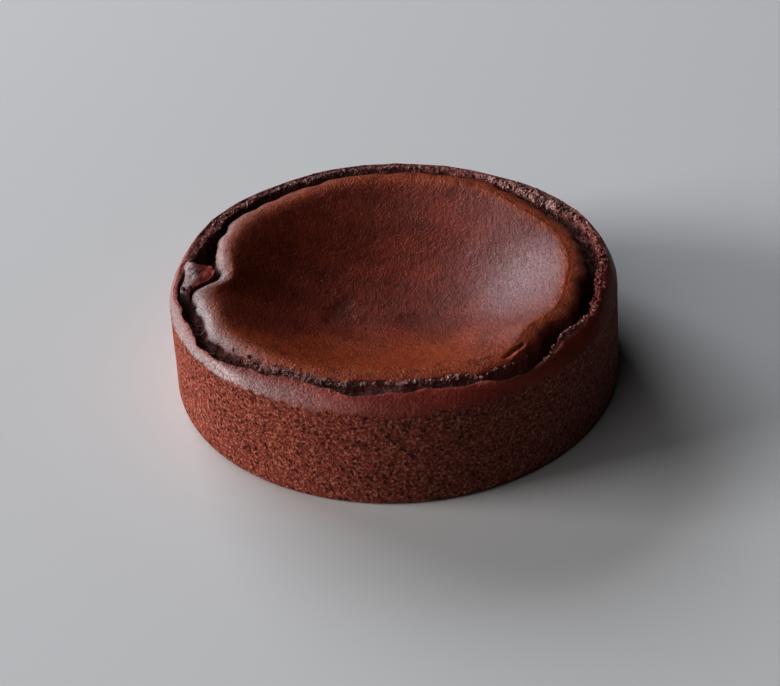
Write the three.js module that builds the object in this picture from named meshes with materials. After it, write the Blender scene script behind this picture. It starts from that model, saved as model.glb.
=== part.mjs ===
// A round baked chocolate cake whose middle has sunk and torn away from its rim.
// Millimetres, +Z up, origin at the middle of the flat base, the shown front towards -Y.
// Angles run anticlockwise from +X, seen from above: 90 is the back, 180 the left, 270 the front.
import * as THREE from "three";

// Driving dimensions.
const BASE_RADIUS = 75; // a straight-sided 150 mm tin
const WALL_TAPER = 0.7; // how much narrower the wall is at its top
const WALL_HEIGHT = 33.4; // porous side, up to where the crust rolls over
const BASE_ROUND = 1.5; // rounding of the bottom edge
const RIM_RISE = 3.9; // height of the rolled crust above the wall
const RIM_EDGE_RADIUS = 70; // mean radius of the rim's torn inner edge
const DISC_EDGE_RADIUS = 64.5; // mean radius of the sunken disc's torn edge
const DISC_DROP = 0.6; // the disc's lip below the rim's crest
const LIP_WIDTH = 5; // rounded border of the disc
const LIP_ROLL = 2.2; // how far the lip rolls down to its torn edge
const CRACK_DEPTH = 9.5; // depth of the crack below the rim's crest
const CRACK_STEEPNESS = 0.6; // below 1 the crack has steep sides and a broad floor
const SINK_DEPTH = 14.5; // depth of the disc's middle below the mean lip
const SINK_POWER = 2.4; // above 1 the middle is flat and the border steep
const SUNKEN_SPOT = new THREE.Vector2(-3, -2); // the lowest spot lies left of the middle
const SUNKEN_HEIGHT = WALL_HEIGHT + RIM_RISE - DISC_DROP - SINK_DEPTH;

// Steps of the surface: columns round the cake, rings along each stretch of the profile.
const COLUMNS = 150;
const BASE_EDGE_RINGS = 2;
const WALL_RINGS = 3;
const RIM_RINGS = 5;
const CRACK_RINGS = 12;
const LIP_RINGS = 4;
const DISC_RINGS = 8;

// Swells round the ring: [angle in degrees, spread in degrees, amount in millimetres].
const WALL_TOP_SWELLS = [
  [265, 60, 1.3], // the front rose highest
  [185, 28, -1.6], // the left stayed lower
  [95, 48, -2.0], // and the back too
  [107, 14, 0.9],
];
const TAPER_SWELLS = [
  [355, 40, 0.9], // the right leans in
];
const RIM_EDGE_SWELLS = [
  [178, 8, 2.6],
  [215, 13, 3.2], // thin rim at the front left
  [242, 12, -3.4], // broad rim where the crack is narrow
  [277, 9, -2.6],
  [303, 7, 1.8],
  [321, 5, -4.2], // a fold of rim leans into the crack
  [345, 12, -0.8],
  [15, 16, 0.6],
  [100, 30, 1.0],
];
const DISC_EDGE_SWELLS = [
  [170.5, 6, -6.2], // notch in the left edge
  [208, 14, 2.4],
  [272, 24, -6.8], // the front edge has crumbled back
  [320, 10, -4.4],
  [345, 18, -2.0],
  [90, 48, 3.8],
  [143, 12, 2.0],
];
const LIP_SWELLS = [
  [90, 60, 1.2], // level with the rim at the back
];
const CRACK_FLOOR_SWELLS = [
  [240, 14, 4.5], // shallow where crumbs bridge the front left
  [215, 10, 1.5],
  [262, 8, 1.5],
  [165, 6, -2.5], // deepest hole beside the tongue
  [335, 24, -2.0],
  [75, 40, 3.5], // the back is nearly closed
];

// A tongue of torn crust bridges the crack on the left.
const TONGUE_ANGLE = 175.5;
const TONGUE_SPREAD = 5;
const TONGUE_LIFT = 6.5;
const TONGUE_PLACE = 0.42; // share of the way from the rim to the disc
const TONGUE_WIDTH = 0.3;

// Fine raggedness of the torn edges and faces, as waves with fixed phases.
const RAGGED_WAVES = [
  { count: 17, phase: 0.6, amount: 0.42 },
  { count: 29, phase: 2.1, amount: 0.36 },
  { count: 47, phase: 4.4, amount: 0.3 },
];
const RIM_TURN = 0; // phase shifts, so that the two edges don't match
const DISC_TURN = 1.7;
const FACE_TURN = 9; // shift of the waves from one side of the crack to the other
const FACE_SHARE = 0.7; // of the edges' raggedness

const DEGREE = Math.PI / 180;

// Signed difference of two angles in degrees, from -180 to 180.
function turnBetween(angle, centre) {
  return ((((angle - centre + 180) % 360) + 360) % 360) - 180;
}

// A smooth hump of height 1 at offset 0.
function hump(offset, spread) {
  return Math.exp(-((offset / spread) ** 2));
}

// Sum of smooth swells at an angle in degrees.
function swell(angle, swells) {
  return swells.reduce(
    (total, [centre, spread, amount]) => total + amount * hump(turnBetween(angle, centre), spread),
    0,
  );
}

// Raggedness at an angle, with its waves shifted by a turn.
function ragged(angle, turn) {
  return RAGGED_WAVES.reduce(
    (total, { count, phase, amount }) => total + amount * Math.sin(count * angle * DEGREE + phase + turn),
    0,
  );
}

// Heights and radii that vary round the cake.
function ringSizes(angle) {
  const wallTop = WALL_HEIGHT + swell(angle, WALL_TOP_SWELLS);
  const crest = wallTop + RIM_RISE;
  const discSwell = swell(angle, DISC_EDGE_SWELLS);
  return {
    wallTop,
    crest,
    discSwell,
    wallRadius: BASE_RADIUS - WALL_TAPER - swell(angle, TAPER_SWELLS),
    rimEdge: RIM_EDGE_RADIUS + swell(angle, RIM_EDGE_SWELLS) + ragged(angle, RIM_TURN),
    discEdge: DISC_EDGE_RADIUS + discSwell + ragged(angle, DISC_TURN),
    lip: crest - DISC_DROP + swell(angle, LIP_SWELLS),
    floor: crest - CRACK_DEPTH + swell(angle, CRACK_FLOOR_SWELLS),
  };
}

// Flat base, rounded bottom edge and tapering wall.
function wallProfile({ wallTop, wallRadius }) {
  const edge = new THREE.EllipseCurve(
    BASE_RADIUS - BASE_ROUND, BASE_ROUND, BASE_ROUND, BASE_ROUND, -Math.PI / 2, 0,
  );
  const side = new THREE.LineCurve(
    new THREE.Vector2(BASE_RADIUS, BASE_ROUND),
    new THREE.Vector2(wallRadius, wallTop),
  );
  return [
    new THREE.Vector2(0, 0),
    ...edge.getPoints(BASE_EDGE_RINGS),
    ...side.getPoints(WALL_RINGS).slice(1),
  ];
}

// Crust rolled over the wall, up to the crest at the torn edge.
function rimProfile({ wallTop, wallRadius, rimEdge, crest }) {
  const roll = new THREE.EllipseCurve(
    rimEdge, wallTop, wallRadius - rimEdge, crest - wallTop, 0, Math.PI / 2,
  );
  return roll.getPoints(RIM_RINGS).slice(1);
}

// Trough between the rim's edge and the disc's edge, with the tongue standing in it.
function crackProfile(angle, { rimEdge, crest, discEdge, lip, floor }) {
  const points = [];
  const tongueHere = TONGUE_LIFT * hump(turnBetween(angle, TONGUE_ANGLE), TONGUE_SPREAD);
  for (let ring = 1; ring < CRACK_RINGS; ring++) {
    const across = ring / CRACK_RINGS;
    const brim = THREE.MathUtils.lerp(crest, lip - LIP_ROLL, across);
    const trough = Math.sin(Math.PI * across) ** CRACK_STEEPNESS;
    const depth = (brim - floor) * trough;
    const tongue = Math.min(depth, tongueHere * hump(across - TONGUE_PLACE, TONGUE_WIDTH));
    const crumble = FACE_SHARE * trough * ragged(angle, FACE_TURN * across);
    points.push(
      new THREE.Vector2(
        THREE.MathUtils.lerp(rimEdge, discEdge, across),
        brim - depth + tongue + crumble,
      ),
    );
  }
  return points;
}

// Rounded lip of the disc, from its torn edge up to its top.
function lipProfile({ discEdge, discSwell, lip }) {
  const inner = DISC_EDGE_RADIUS + discSwell - LIP_WIDTH;
  const roll = new THREE.EllipseCurve(
    inner, lip - LIP_ROLL, discEdge - inner, LIP_ROLL, 0, Math.PI / 2,
  );
  return roll.getPoints(LIP_RINGS);
}

// Sunken top from the lip to the lowest spot; the edge's swells fade towards the middle.
function discProfile({ discSwell, lip }) {
  const points = [];
  for (let ring = 1; ring <= DISC_RINGS; ring++) {
    const share = 1 - ring / DISC_RINGS;
    const reach = DISC_EDGE_RADIUS - LIP_WIDTH + discSwell * share ** 3;
    points.push(
      new THREE.Vector2(
        reach * share,
        THREE.MathUtils.lerp(SUNKEN_HEIGHT, lip, share ** SINK_POWER),
      ),
    );
  }
  return points;
}

// Whole profile at an angle, from the middle of the base to the middle of the top.
function profileAt(angle) {
  const sizes = ringSizes(angle);
  return [
    ...wallProfile(sizes),
    ...rimProfile(sizes),
    ...crackProfile(angle, sizes),
    ...lipProfile(sizes),
    ...discProfile(sizes),
  ];
}

// A lathe whose profile changes from column to column, with the disc's middle moved to its lowest spot.
function cakeGeometry() {
  const firstProfile = profileAt(0);
  const rings = firstProfile.length;
  const geometry = new THREE.LatheGeometry(firstProfile, COLUMNS);
  const position = geometry.getAttribute("position");
  for (let column = 0; column <= COLUMNS; column++) {
    const angle = (360 * (column % COLUMNS)) / COLUMNS;
    profileAt(angle).forEach((point, ring) => {
      const inward = Math.max(0, DISC_RINGS + 1 - (rings - ring)) / DISC_RINGS;
      position.setXYZ(
        column * rings + ring,
        point.x * Math.cos(angle * DEGREE) + SUNKEN_SPOT.x * inward,
        point.x * Math.sin(angle * DEGREE) + SUNKEN_SPOT.y * inward,
        point.y,
      );
    });
  }
  geometry.deleteAttribute("normal");
  geometry.deleteAttribute("uv");
  return geometry;
}

function buildCake() {
  const crust = new THREE.MeshStandardMaterial({ color: 0x5a2a1e, roughness: 0.55, metalness: 0 });
  const cake = new THREE.Mesh(cakeGeometry(), crust);
  cake.name = "cake";
  const group = new THREE.Group();
  group.add(cake);
  return group;
}

export default buildCake();
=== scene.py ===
"""A baked chocolate cake whose middle has sunk and torn away from its rim.

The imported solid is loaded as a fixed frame. A finely torn and pitted body replaces it,
and loose crumbs lie in the crack. Lengths are metres and angles degrees. Angles run
anticlockwise from +X, seen from above: 90 is the back, 180 the left, 270 the front.
"""
import logging
import math
from dataclasses import dataclass, field, replace
from enum import Enum
from typing import ClassVar, Optional, Sequence, Union

import bmesh
import bpy
import numpy as np
from mathutils import Euler, Matrix, Vector, noise


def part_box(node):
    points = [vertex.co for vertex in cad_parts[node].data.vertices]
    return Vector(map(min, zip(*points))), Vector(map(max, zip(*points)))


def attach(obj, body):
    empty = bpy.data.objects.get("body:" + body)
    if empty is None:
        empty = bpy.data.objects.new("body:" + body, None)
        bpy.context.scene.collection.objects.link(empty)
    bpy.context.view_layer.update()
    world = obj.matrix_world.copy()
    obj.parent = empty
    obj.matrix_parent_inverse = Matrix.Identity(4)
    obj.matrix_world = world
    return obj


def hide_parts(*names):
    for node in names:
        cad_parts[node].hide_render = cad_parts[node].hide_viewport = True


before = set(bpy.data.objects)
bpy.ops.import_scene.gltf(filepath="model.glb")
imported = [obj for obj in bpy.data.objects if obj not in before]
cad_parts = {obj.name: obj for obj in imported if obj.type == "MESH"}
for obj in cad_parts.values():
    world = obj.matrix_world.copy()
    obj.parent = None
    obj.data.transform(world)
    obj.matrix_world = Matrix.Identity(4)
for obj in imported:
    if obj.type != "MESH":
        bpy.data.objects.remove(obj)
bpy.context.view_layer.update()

MM = 0.001
NODE = "cake"
BODY = "root"

Array = np.ndarray
Pair = tuple[float, float]
Triple = tuple[float, float, float]
Span = tuple[float, float, float, float]
Colour = tuple[float, float, float, float]
Ring = tuple[Array, Array]

log = logging.getLogger("cake")


class Zone(Enum):
    """The stretches of the cake's surface, in order from the base to the middle of the top."""

    EDGE = 0
    WALL = 1
    RIM = 2
    CRACK = 3
    LIP = 4
    DISC = 5


class Mark(Enum):
    """What is marked at each point of a mesh, for the finish to read."""

    CRUST = "crust"
    TORN = "torn"
    # Painted light: how much lighter torn crumb is painted where it catches the lamps.
    LIGHT = "light"
    PITTED = "pitted"
    # Painted shade: darker colour deeper in the crack.
    DEPTH_SHADE = "deep"
    BROWNED = "browned"
    RED = "red"
    # Gloss, and painted shade on the right of the sunken top.
    GLOSS_AND_PAINTED_SHADE = "gloss_and_shade"
    # Gloss, and a painted grey sheen where the lip, rim and tongue catch the lamps.
    GLOSS_AND_PAINTED_SHEEN = "gloss_and_sheen"


@dataclass(frozen=True)
class Swell:
    """A smooth hump, or a hollow where the amount is negative, at one angle of the ring.

    Args:
        angle: Where its middle is.
        spread: How far it reaches to each side.
        amount: Its height.
    """

    angle: float
    spread: float
    amount: float

    def at(self, angles: Array) -> Array:
        """Height of the hump at each angle."""
        turn = (angles - self.angle + 180.0) % 360.0 - 180.0
        return self.amount * np.exp(-((turn / self.spread) ** 2))


Swells = tuple[Swell, ...]


def swells(*rows: Triple, unit: float = 1.0) -> Swells:
    """Swells from rows of angle, spread and amount, the amount in the given unit."""
    return tuple(Swell(angle, spread, amount * unit) for angle, spread, amount in rows)


def swelling(group: Swells, angles: Array) -> Array:
    """Sum of a group of swells at each angle."""
    return sum((swell.at(angles) for swell in group), np.zeros_like(angles))


def share_round(least: float, group: Swells, angles: Array) -> Array:
    """A share from 0 to 1 at each angle: a least one, raised by a group of swells."""
    return np.clip(least + swelling(group, angles), 0.0, 1.0)


def mix(start: Array, end: Array, share: Array) -> Array:
    """Value a share of the way from start to end."""
    return start + (end - start) * share


def smooth_step(low: float, high: float, values: Array) -> Array:
    """Smooth rise from 0 at low to 1 at high, where low may also be the larger."""
    share = np.clip((values - low) / (high - low), 0.0, 1.0)
    return share * share * (3.0 - 2.0 * share)


def plateau(span: Span, values: Array) -> Array:
    """Smooth rise from 0 to 1 between a span's first two values, and fall between its last two."""
    return smooth_step(span[0], span[1], values) * smooth_step(span[3], span[2], values)


@dataclass(frozen=True)
class CakeForm:
    """The sizes of the cake and how they vary round it."""

    base_radius: float
    wall_taper: float = 0.7 * MM
    wall_height: float = 33.4 * MM
    base_round: float = 1.5 * MM
    rim_rise: float = 3.9 * MM
    rim_power: float = 1.7
    rim_edge_radius: float = 70.0 * MM
    fray_power: int = 4
    disc_edge_radius: float = 64.5 * MM
    disc_drop: float = 0.6 * MM
    disc_swell_power: int = 3
    lip_width: float = 5.0 * MM
    lip_roll: float = 2.2 * MM
    lip_softness: float = 3.0 * MM
    crack_depth: float = 9.5 * MM
    crack_steepness: float = 0.6
    crack_samples: int = 4000
    crack_evenness: float = 0.5
    sink_depth: float = 14.5 * MM
    sink_power: float = 2.4
    sunken_spot: Pair = (-3.0 * MM, -2.0 * MM)
    notch_span: Span = (155.0, 175.0, 177.5, 184.0)
    notch_depth: float = 5.6 * MM
    notch_power: int = 5
    tongue_span: Span = (166.5, 171.5, 184.0, 188.5)
    tongue_across: Span = (0.04, 0.18, 0.9, 1.0)
    tongue_ridge: Pair = (0.3, 0.72)
    tongue_ridge_width: float = 0.34
    tongue_rise: float = 1.3 * MM
    tongue_drop: float = 0.3 * MM
    ledge_drop: float = 0.5 * MM
    ledge_fade: Pair = (0.05, 0.3)
    least_ledge: float = 0.01
    wall_top_swells: Swells = swells(
        (265, 60, 1.3), (185, 28, -1.6), (95, 48, -1.6), (107, 14, 0.6), unit=MM
    )
    taper_swells: Swells = swells((355, 40, 0.9), unit=MM)
    rim_edge_swells: Swells = swells(
        (182, 9, 1.6), (215, 13, 2.4), (242, 12, -3.4), (277, 9, -2.6), (303, 7, 1.8), (321, 6, -4.2),
        (345, 12, -0.8), (15, 16, 0.9), (100, 30, 1.0), (57, 12, -2.0), (148, 22, 2.2), unit=MM,
    )
    disc_edge_swells: Swells = swells(
        (208, 14, 2.4), (272, 24, -4.8), (320, 10, -4.4), (345, 18, -2.0), (90, 48, 3.0),
        (143, 12, 2.0), (186, 7, 1.9), (240, 10, 1.0), (38, 14, -2.4), unit=MM,
    )
    lip_swells: Swells = swells((90, 60, 0.3), (275, 40, -2.0), unit=MM)
    lip_roll_swells: Swells = swells((275, 36, -1.4), (182, 6, -1.5), unit=MM)
    sink_power_swells: Swells = swells((270, 50, -0.7))
    ledge_swells: Swells = swells(
        (350, 22, 0.35), (42, 20, 0.75), (90, 26, 0.6), (118, 12, 0.35), (147, 20, 0.75)
    )
    floor_swells: Swells = swells(
        (240, 14, 4.5), (215, 10, 1.5), (262, 8, 1.5), (165, 6, 1.0), (335, 24, -2.0),
        (75, 40, 3.5), (198, 22, 4.0), (140, 14, 2.0), unit=MM,
    )
    ragged_waves: tuple[tuple[int, float, float], ...] = (
        (17, 0.6, 0.42 * MM), (29, 2.1, 0.36 * MM), (47, 4.4, 0.3 * MM)
    )
    smooth_rim: Swells = swells((125, 50, 0.85))
    rim_turn: float = 0.0
    disc_turn: float = 1.7
    face_turn: float = 9.0
    face_share: float = 0.7

    def ragged(self, angles: Array, turn: float) -> Array:
        """Raggedness of a torn edge, with its waves shifted by a turn."""
        return sum(
            amount * np.sin(np.radians(count * angles) + phase + turn)
            for count, phase, amount in self.ragged_waves
        )

    def wall_top(self, angles: Array) -> Array:
        """Height at which the wall ends and the crust rolls over."""
        return self.wall_height + swelling(self.wall_top_swells, angles)

    def wall_radius(self, angles: Array) -> Array:
        """Radius of the wall at its top."""
        return self.base_radius - self.wall_taper - swelling(self.taper_swells, angles)

    def crest(self, angles: Array) -> Array:
        """Height of the rim's crest."""
        return self.wall_top(angles) + self.rim_rise

    def rim_edge(self, angles: Array) -> Array:
        """Radius of the rim's torn edge."""
        smooth_edge = self.rim_edge_radius + swelling(self.rim_edge_swells, angles)
        return smooth_edge + self.rim_fraying(angles)

    def rim_fraying(self, angles: Array) -> Array:
        """Raggedness of the rim's torn edge, less at the back."""
        return self.ragged(angles, self.rim_turn) * (1.0 - swelling(self.smooth_rim, angles))

    def disc_smooth_edge(self, angles: Array) -> Array:
        """Radius of the disc's edge without its raggedness."""
        return self.disc_edge_radius + swelling(self.disc_edge_swells, angles) - self.notch(angles)

    def disc_edge(self, angles: Array) -> Array:
        """Radius of the disc's torn edge."""
        return self.disc_smooth_edge(angles) + self.ragged(angles, self.disc_turn)

    def lip(self, angles: Array) -> Array:
        """Height of the disc's lip."""
        return self.crest(angles) - self.disc_drop + swelling(self.lip_swells, angles)

    def notch(self, angles: Array) -> Array:
        """How far the disc's edge is set back at the notch, which ends in a sudden step."""
        return self.notch_depth * plateau(self.notch_span, angles)

    def roll(self, angles: Array) -> Array:
        """How far the lip rolls down to its torn edge."""
        return self.lip_roll + swelling(self.lip_roll_swells, angles)

    def tongue(self, across: Array, angles: Array) -> Array:
        """Share of the tongue of torn crust across the crack, 1 on its top and 0 beside it."""
        return plateau(self.tongue_across, across) * plateau(self.tongue_span, angles)

    def ridge(self, angles: Array) -> Array:
        """How far across the crack the tongue's slanting ridge lies."""
        share = smooth_step(self.tongue_span[1], self.tongue_span[3], angles)
        return mix(*self.tongue_ridge, share)

    def floor(self, angles: Array) -> Array:
        """Height of the crack's floor."""
        return self.crest(angles) - self.crack_depth + swelling(self.floor_swells, angles)

    def trough(self, across: Array) -> Array:
        """Share of the crack's full depth, across from its outer edge at 0 to its inner at 1."""
        return np.clip(np.sin(math.pi * across), 0.0, 1.0) ** self.crack_steepness

    def lip_radius(self) -> float:
        """Mean radius of the lip's highest ring."""
        return self.disc_edge_radius - self.lip_width

    def edge_ring(self, share: float, angles: Array) -> Ring:
        """Radius and height on the rounded bottom edge, from the base at 0 to the wall at 1."""
        turn = 0.5 * math.pi * (share - 1.0)
        radius = self.base_radius - self.base_round * (1.0 - math.cos(turn))
        height = self.base_round * (1.0 + math.sin(turn))
        return np.full_like(angles, radius), np.full_like(angles, height)

    def wall_ring(self, share: float, angles: Array) -> Ring:
        """Radius and height on the wall, from its foot at share 0 to its top at 1."""
        radius = mix(self.base_radius, self.wall_radius(angles), share)
        height = mix(self.base_round, self.wall_top(angles), share)
        return radius, height

    def rim_ring(self, share: float, angles: Array) -> Ring:
        """Radius and height on the rolled crust, from the wall at share 0 to the crest at 1."""
        frayed = self.rim_fraying(angles) * (share - share**self.fray_power)
        radius = mix(self.wall_radius(angles), self.rim_edge(angles), share) - frayed
        height = self.wall_top(angles) + self.rim_rise * (1.0 - (1.0 - share) ** self.rim_power)
        return radius, height

    def crack_ring(self, across: float, angles: Array) -> Ring:
        """Radius and height in the crack, from the rim's edge at 0 across to the disc's at 1."""
        crest = self.crest(angles)
        ledge = swelling(self.ledge_swells, angles)
        inner = np.clip((across - ledge) / (1.0 - ledge), 0.0, 1.0)
        brim = mix(crest, self.lip(angles) - self.roll(angles), inner)
        trough = self.trough(inner)
        step = self.ledge_drop * np.minimum(across / np.maximum(ledge, self.least_ledge), 1.0)
        step = step * smooth_step(*self.ledge_fade, ledge)
        depth = np.maximum((brim - self.floor(angles)) * trough, step * (1.0 - inner))
        crumble = self.face_share * trough * self.ragged(angles, self.face_turn * across)
        radius = mix(self.rim_edge(angles), self.disc_edge(angles), across)
        beside = (across - self.ridge(angles)) / self.tongue_ridge_width
        rise = self.tongue_rise * smooth_step(self.tongue_span[3], self.tongue_span[1], angles)
        flap = crest - self.tongue_drop + rise * np.exp(-(beside**2))
        return radius, mix(brim - depth + crumble, flap, self.tongue(across, angles))

    def lip_ring(self, share: float, angles: Array) -> Ring:
        """Radius and height on the lip, from the disc's torn edge at share 0 to its top at 1."""
        turn = 0.5 * math.pi * share
        inner = self.disc_smooth_edge(angles) - self.lip_width
        radius = inner + (self.disc_edge(angles) - inner) * math.cos(turn)
        height = self.lip(angles) - self.roll(angles) * (1.0 - math.sin(turn))
        return radius, height

    def crack_steps(self, rings: int) -> Array:
        """Shares of the way across the crack, spaced about evenly along its torn surface.

        Args:
            rings: How many steps to take.

        Returns:
            One more share than there are steps, from 0 to 1.
        """
        across = np.linspace(0.0, 1.0, self.crack_samples)
        gap = self.rim_edge_radius - self.disc_edge_radius
        steps = np.hypot(np.diff(across * gap), np.diff(self.crack_depth * self.trough(across)))
        length = np.concatenate([[0.0], np.cumsum(steps)])
        along = np.interp(np.linspace(0.0, length[-1], rings + 1), length, across)
        return mix(along, np.linspace(0.0, 1.0, rings + 1), self.crack_evenness)

    def disc_points(self, share: Array, angles: Array) -> Array:
        """Points of the sunken top.

        Args:
            share: Distance from the middle as a share of the lip's radius.
            angles: Direction from the middle.

        Returns:
            One row of x, y and z for each share and angle.
        """
        swell = swelling(self.disc_edge_swells, angles) * share**self.disc_swell_power
        reach = self.lip_radius() + swell - self.notch(angles) * share**self.notch_power
        lip = self.lip(angles)
        full_drop = lip - (self.wall_height + self.rim_rise - self.disc_drop - self.sink_depth)
        power = self.sink_power + swelling(self.sink_power_swells, angles)
        drop = full_drop * (1.0 - share**power)
        soft_drop = np.hypot(drop, self.lip_softness) - self.lip_softness
        soft_drop *= full_drop / (np.hypot(full_drop, self.lip_softness) - self.lip_softness)
        inward = 1.0 - share
        return np.stack(
            [
                reach * share * np.cos(np.radians(angles)) + self.sunken_spot[0] * inward,
                reach * share * np.sin(np.radians(angles)) + self.sunken_spot[1] * inward,
                lip - soft_drop,
            ],
            axis=1,
        )


@dataclass(frozen=True)
class Noise:
    """Seeded noise on the points of a mesh.

    Args:
        amount: Its height.
        size: Length of its largest waves, or the spacing of its cells.
        seed: Picks another part of the same noise.
    """

    step: ClassVar[Triple]
    amount: float
    size: float
    seed: int

    def places(self, points: Array) -> list[Vector]:
        """Each point in units of the size, moved to this seed's part of the noise."""
        moved = Vector(self.step) * self.seed
        return [Vector(point) / self.size + moved for point in points]


@dataclass(frozen=True)
class Waves(Noise):
    """Fractal unevenness, up and down by about its amount, with a few finer layers."""

    step: ClassVar[Triple] = (13.7, 5.3, 9.1)
    fading: ClassVar[float] = 1.0
    refining: ClassVar[float] = 2.0
    layers: int = 2

    def at(self, points: Array) -> Array:
        """Height at each point."""
        heights = [
            noise.fractal(place, self.fading, self.refining, self.layers) for place in self.places(points)
        ]
        return self.amount * np.array(heights)


@dataclass(frozen=True)
class Shake(Noise):
    """Smooth random shifts of about its amount, in all directions."""

    step: ClassVar[Triple] = (2.7, 19.1, 8.3)

    def at(self, points: Array) -> Array:
        """Shift of each point, one row of x, y and z each."""
        noise.seed_set(self.seed)
        return self.amount * np.array([noise.noise_vector(place) for place in self.places(points)])


@dataclass(frozen=True)
class Lumps(Noise):
    """Rounded lumps of crumb, high in the middle of each cell and low at its border."""

    step: ClassVar[Triple] = (3.3, 17.9, 6.1)
    top: ClassVar[float] = 0.4
    fall: ClassVar[float] = 2.0

    def at(self, points: Array) -> Array:
        """Height at each point."""
        gaps = np.array([noise.voronoi(place)[0][0] for place in self.places(points)])
        return self.amount * (self.top - self.fall * gaps)


@dataclass(frozen=True)
class Pits(Noise):
    """Round pits of uneven size, at most one to a cell.

    Args:
        share: Radius of the largest pit, as a share of the spacing.
        rarity: Share of the cells that stay without a pit.
    """

    step: ClassVar[Triple] = (7.9, 3.1, 11.3)
    smallest: ClassVar[float] = 0.4
    scatter: ClassVar[float] = 7.0
    share: float
    rarity: float

    def at(self, points: Array) -> Array:
        """For each point 0 outside the pits, rising to 1 in the middle of one."""
        depth = np.zeros(len(points))
        for index, place in enumerate(self.places(points)):
            distances, centres = noise.voronoi(place)
            luck = (noise.cell(centres[0] * self.scatter) - self.rarity) / (1.0 - self.rarity)
            if luck > 0.0:
                radius = self.share * mix(self.smallest, 1.0, luck)
                depth[index] = max(0.0, 1.0 - distances[0] / radius)
        return smooth_step(0.0, 1.0, depth)


@dataclass(frozen=True)
class Groove:
    """A straight groove or tear, on the top seen from above or on the unrolled wall.

    Args:
        start: One end of its line.
        end: The other end.
        width: Distance from the line to its border.
        depth: How deep its line lies.
        torn: How far it shows torn crumb, from 0 to 1.
        darkening: How far it darkens the crust, from 0 to 1, as painted shade where it has a dent.
    """

    taper: ClassVar[float] = 0.6
    start: Pair
    end: Pair
    width: float
    depth: float = 0.0
    torn: float = 0.0
    darkening: float = 0.0

    def at(self, flat_points: Array) -> Array:
        """Share of the full depth at each point, 1 on the line and 0 from the border outwards."""
        start, line = np.array(self.start), np.subtract(self.end, self.start)
        along = np.clip((flat_points - start) @ line / (line @ line), 0.0, 1.0)
        width = self.width * (1.0 - self.taper * np.abs(2.0 * along - 1.0))
        gap = np.linalg.norm(flat_points - start - along[:, None] * line, axis=1)
        return smooth_step(1.0, 0.0, gap / width)


def top_groove(
    start: Pair, end: Pair, width: float, depth: float, torn: float = 0.0, darkening: float = 0.0
) -> Groove:
    """A groove on the top, with its lengths in millimetres."""
    ends = [(x * MM, y * MM) for x, y in (start, end)]
    return Groove(*ends, width * MM, depth * MM, torn, darkening)


@dataclass(frozen=True)
class Patch:
    """A soft patch of the sunken top.

    Args:
        place: Its middle, seen from above.
        reach: How far it fades out along x and y.
        amount: How strong it is in the middle.
    """

    place: Pair
    reach: Pair
    amount: float

    def at(self, points: Array) -> Array:
        """How strong the patch is at each point."""
        away = (points[:, :2] - np.array(self.place)) / np.array(self.reach)
        return self.amount * np.exp(-np.sum(away**2, axis=1))


@dataclass
class Surface:
    """The points of the body, and where each lies on it.

    Args:
        points: Rows of x, y and z.
        normals: The outward direction at each point.
        zones: Number of each point's zone.
        shares: How far through its zone each point lies, from 0 to 1.
        angles: Angle of each point round the cake.
    """

    points: Array
    normals: Array
    zones: Array
    shares: Array
    angles: Array

    def on(self, *zones: Zone) -> Array:
        """Which points lie on one of some zones."""
        return np.isin(self.zones, [zone.value for zone in zones])

    def by_zone(self, values: dict[Zone, Array]) -> Array:
        """Picks each point's value by its zone, with 0 on the zones that aren't given."""
        return np.select([self.on(zone) for zone in values], list(values.values()), 0.0)


class Piece:
    """A visible piece of the cake."""

    @staticmethod
    def dress(piece: bpy.types.Object, material: bpy.types.Material) -> None:
        """Gives the built piece its material and body, and reports it.

        Args:
            piece: The object.
            material: Its finish.
        """
        piece.data.materials.clear()
        piece.data.materials.append(material)
        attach(piece, BODY)
        triangles = sum(len(face.vertices) - 2 for face in piece.data.polygons)
        log.info("%s: %d triangles", piece.name, triangles)


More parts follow.
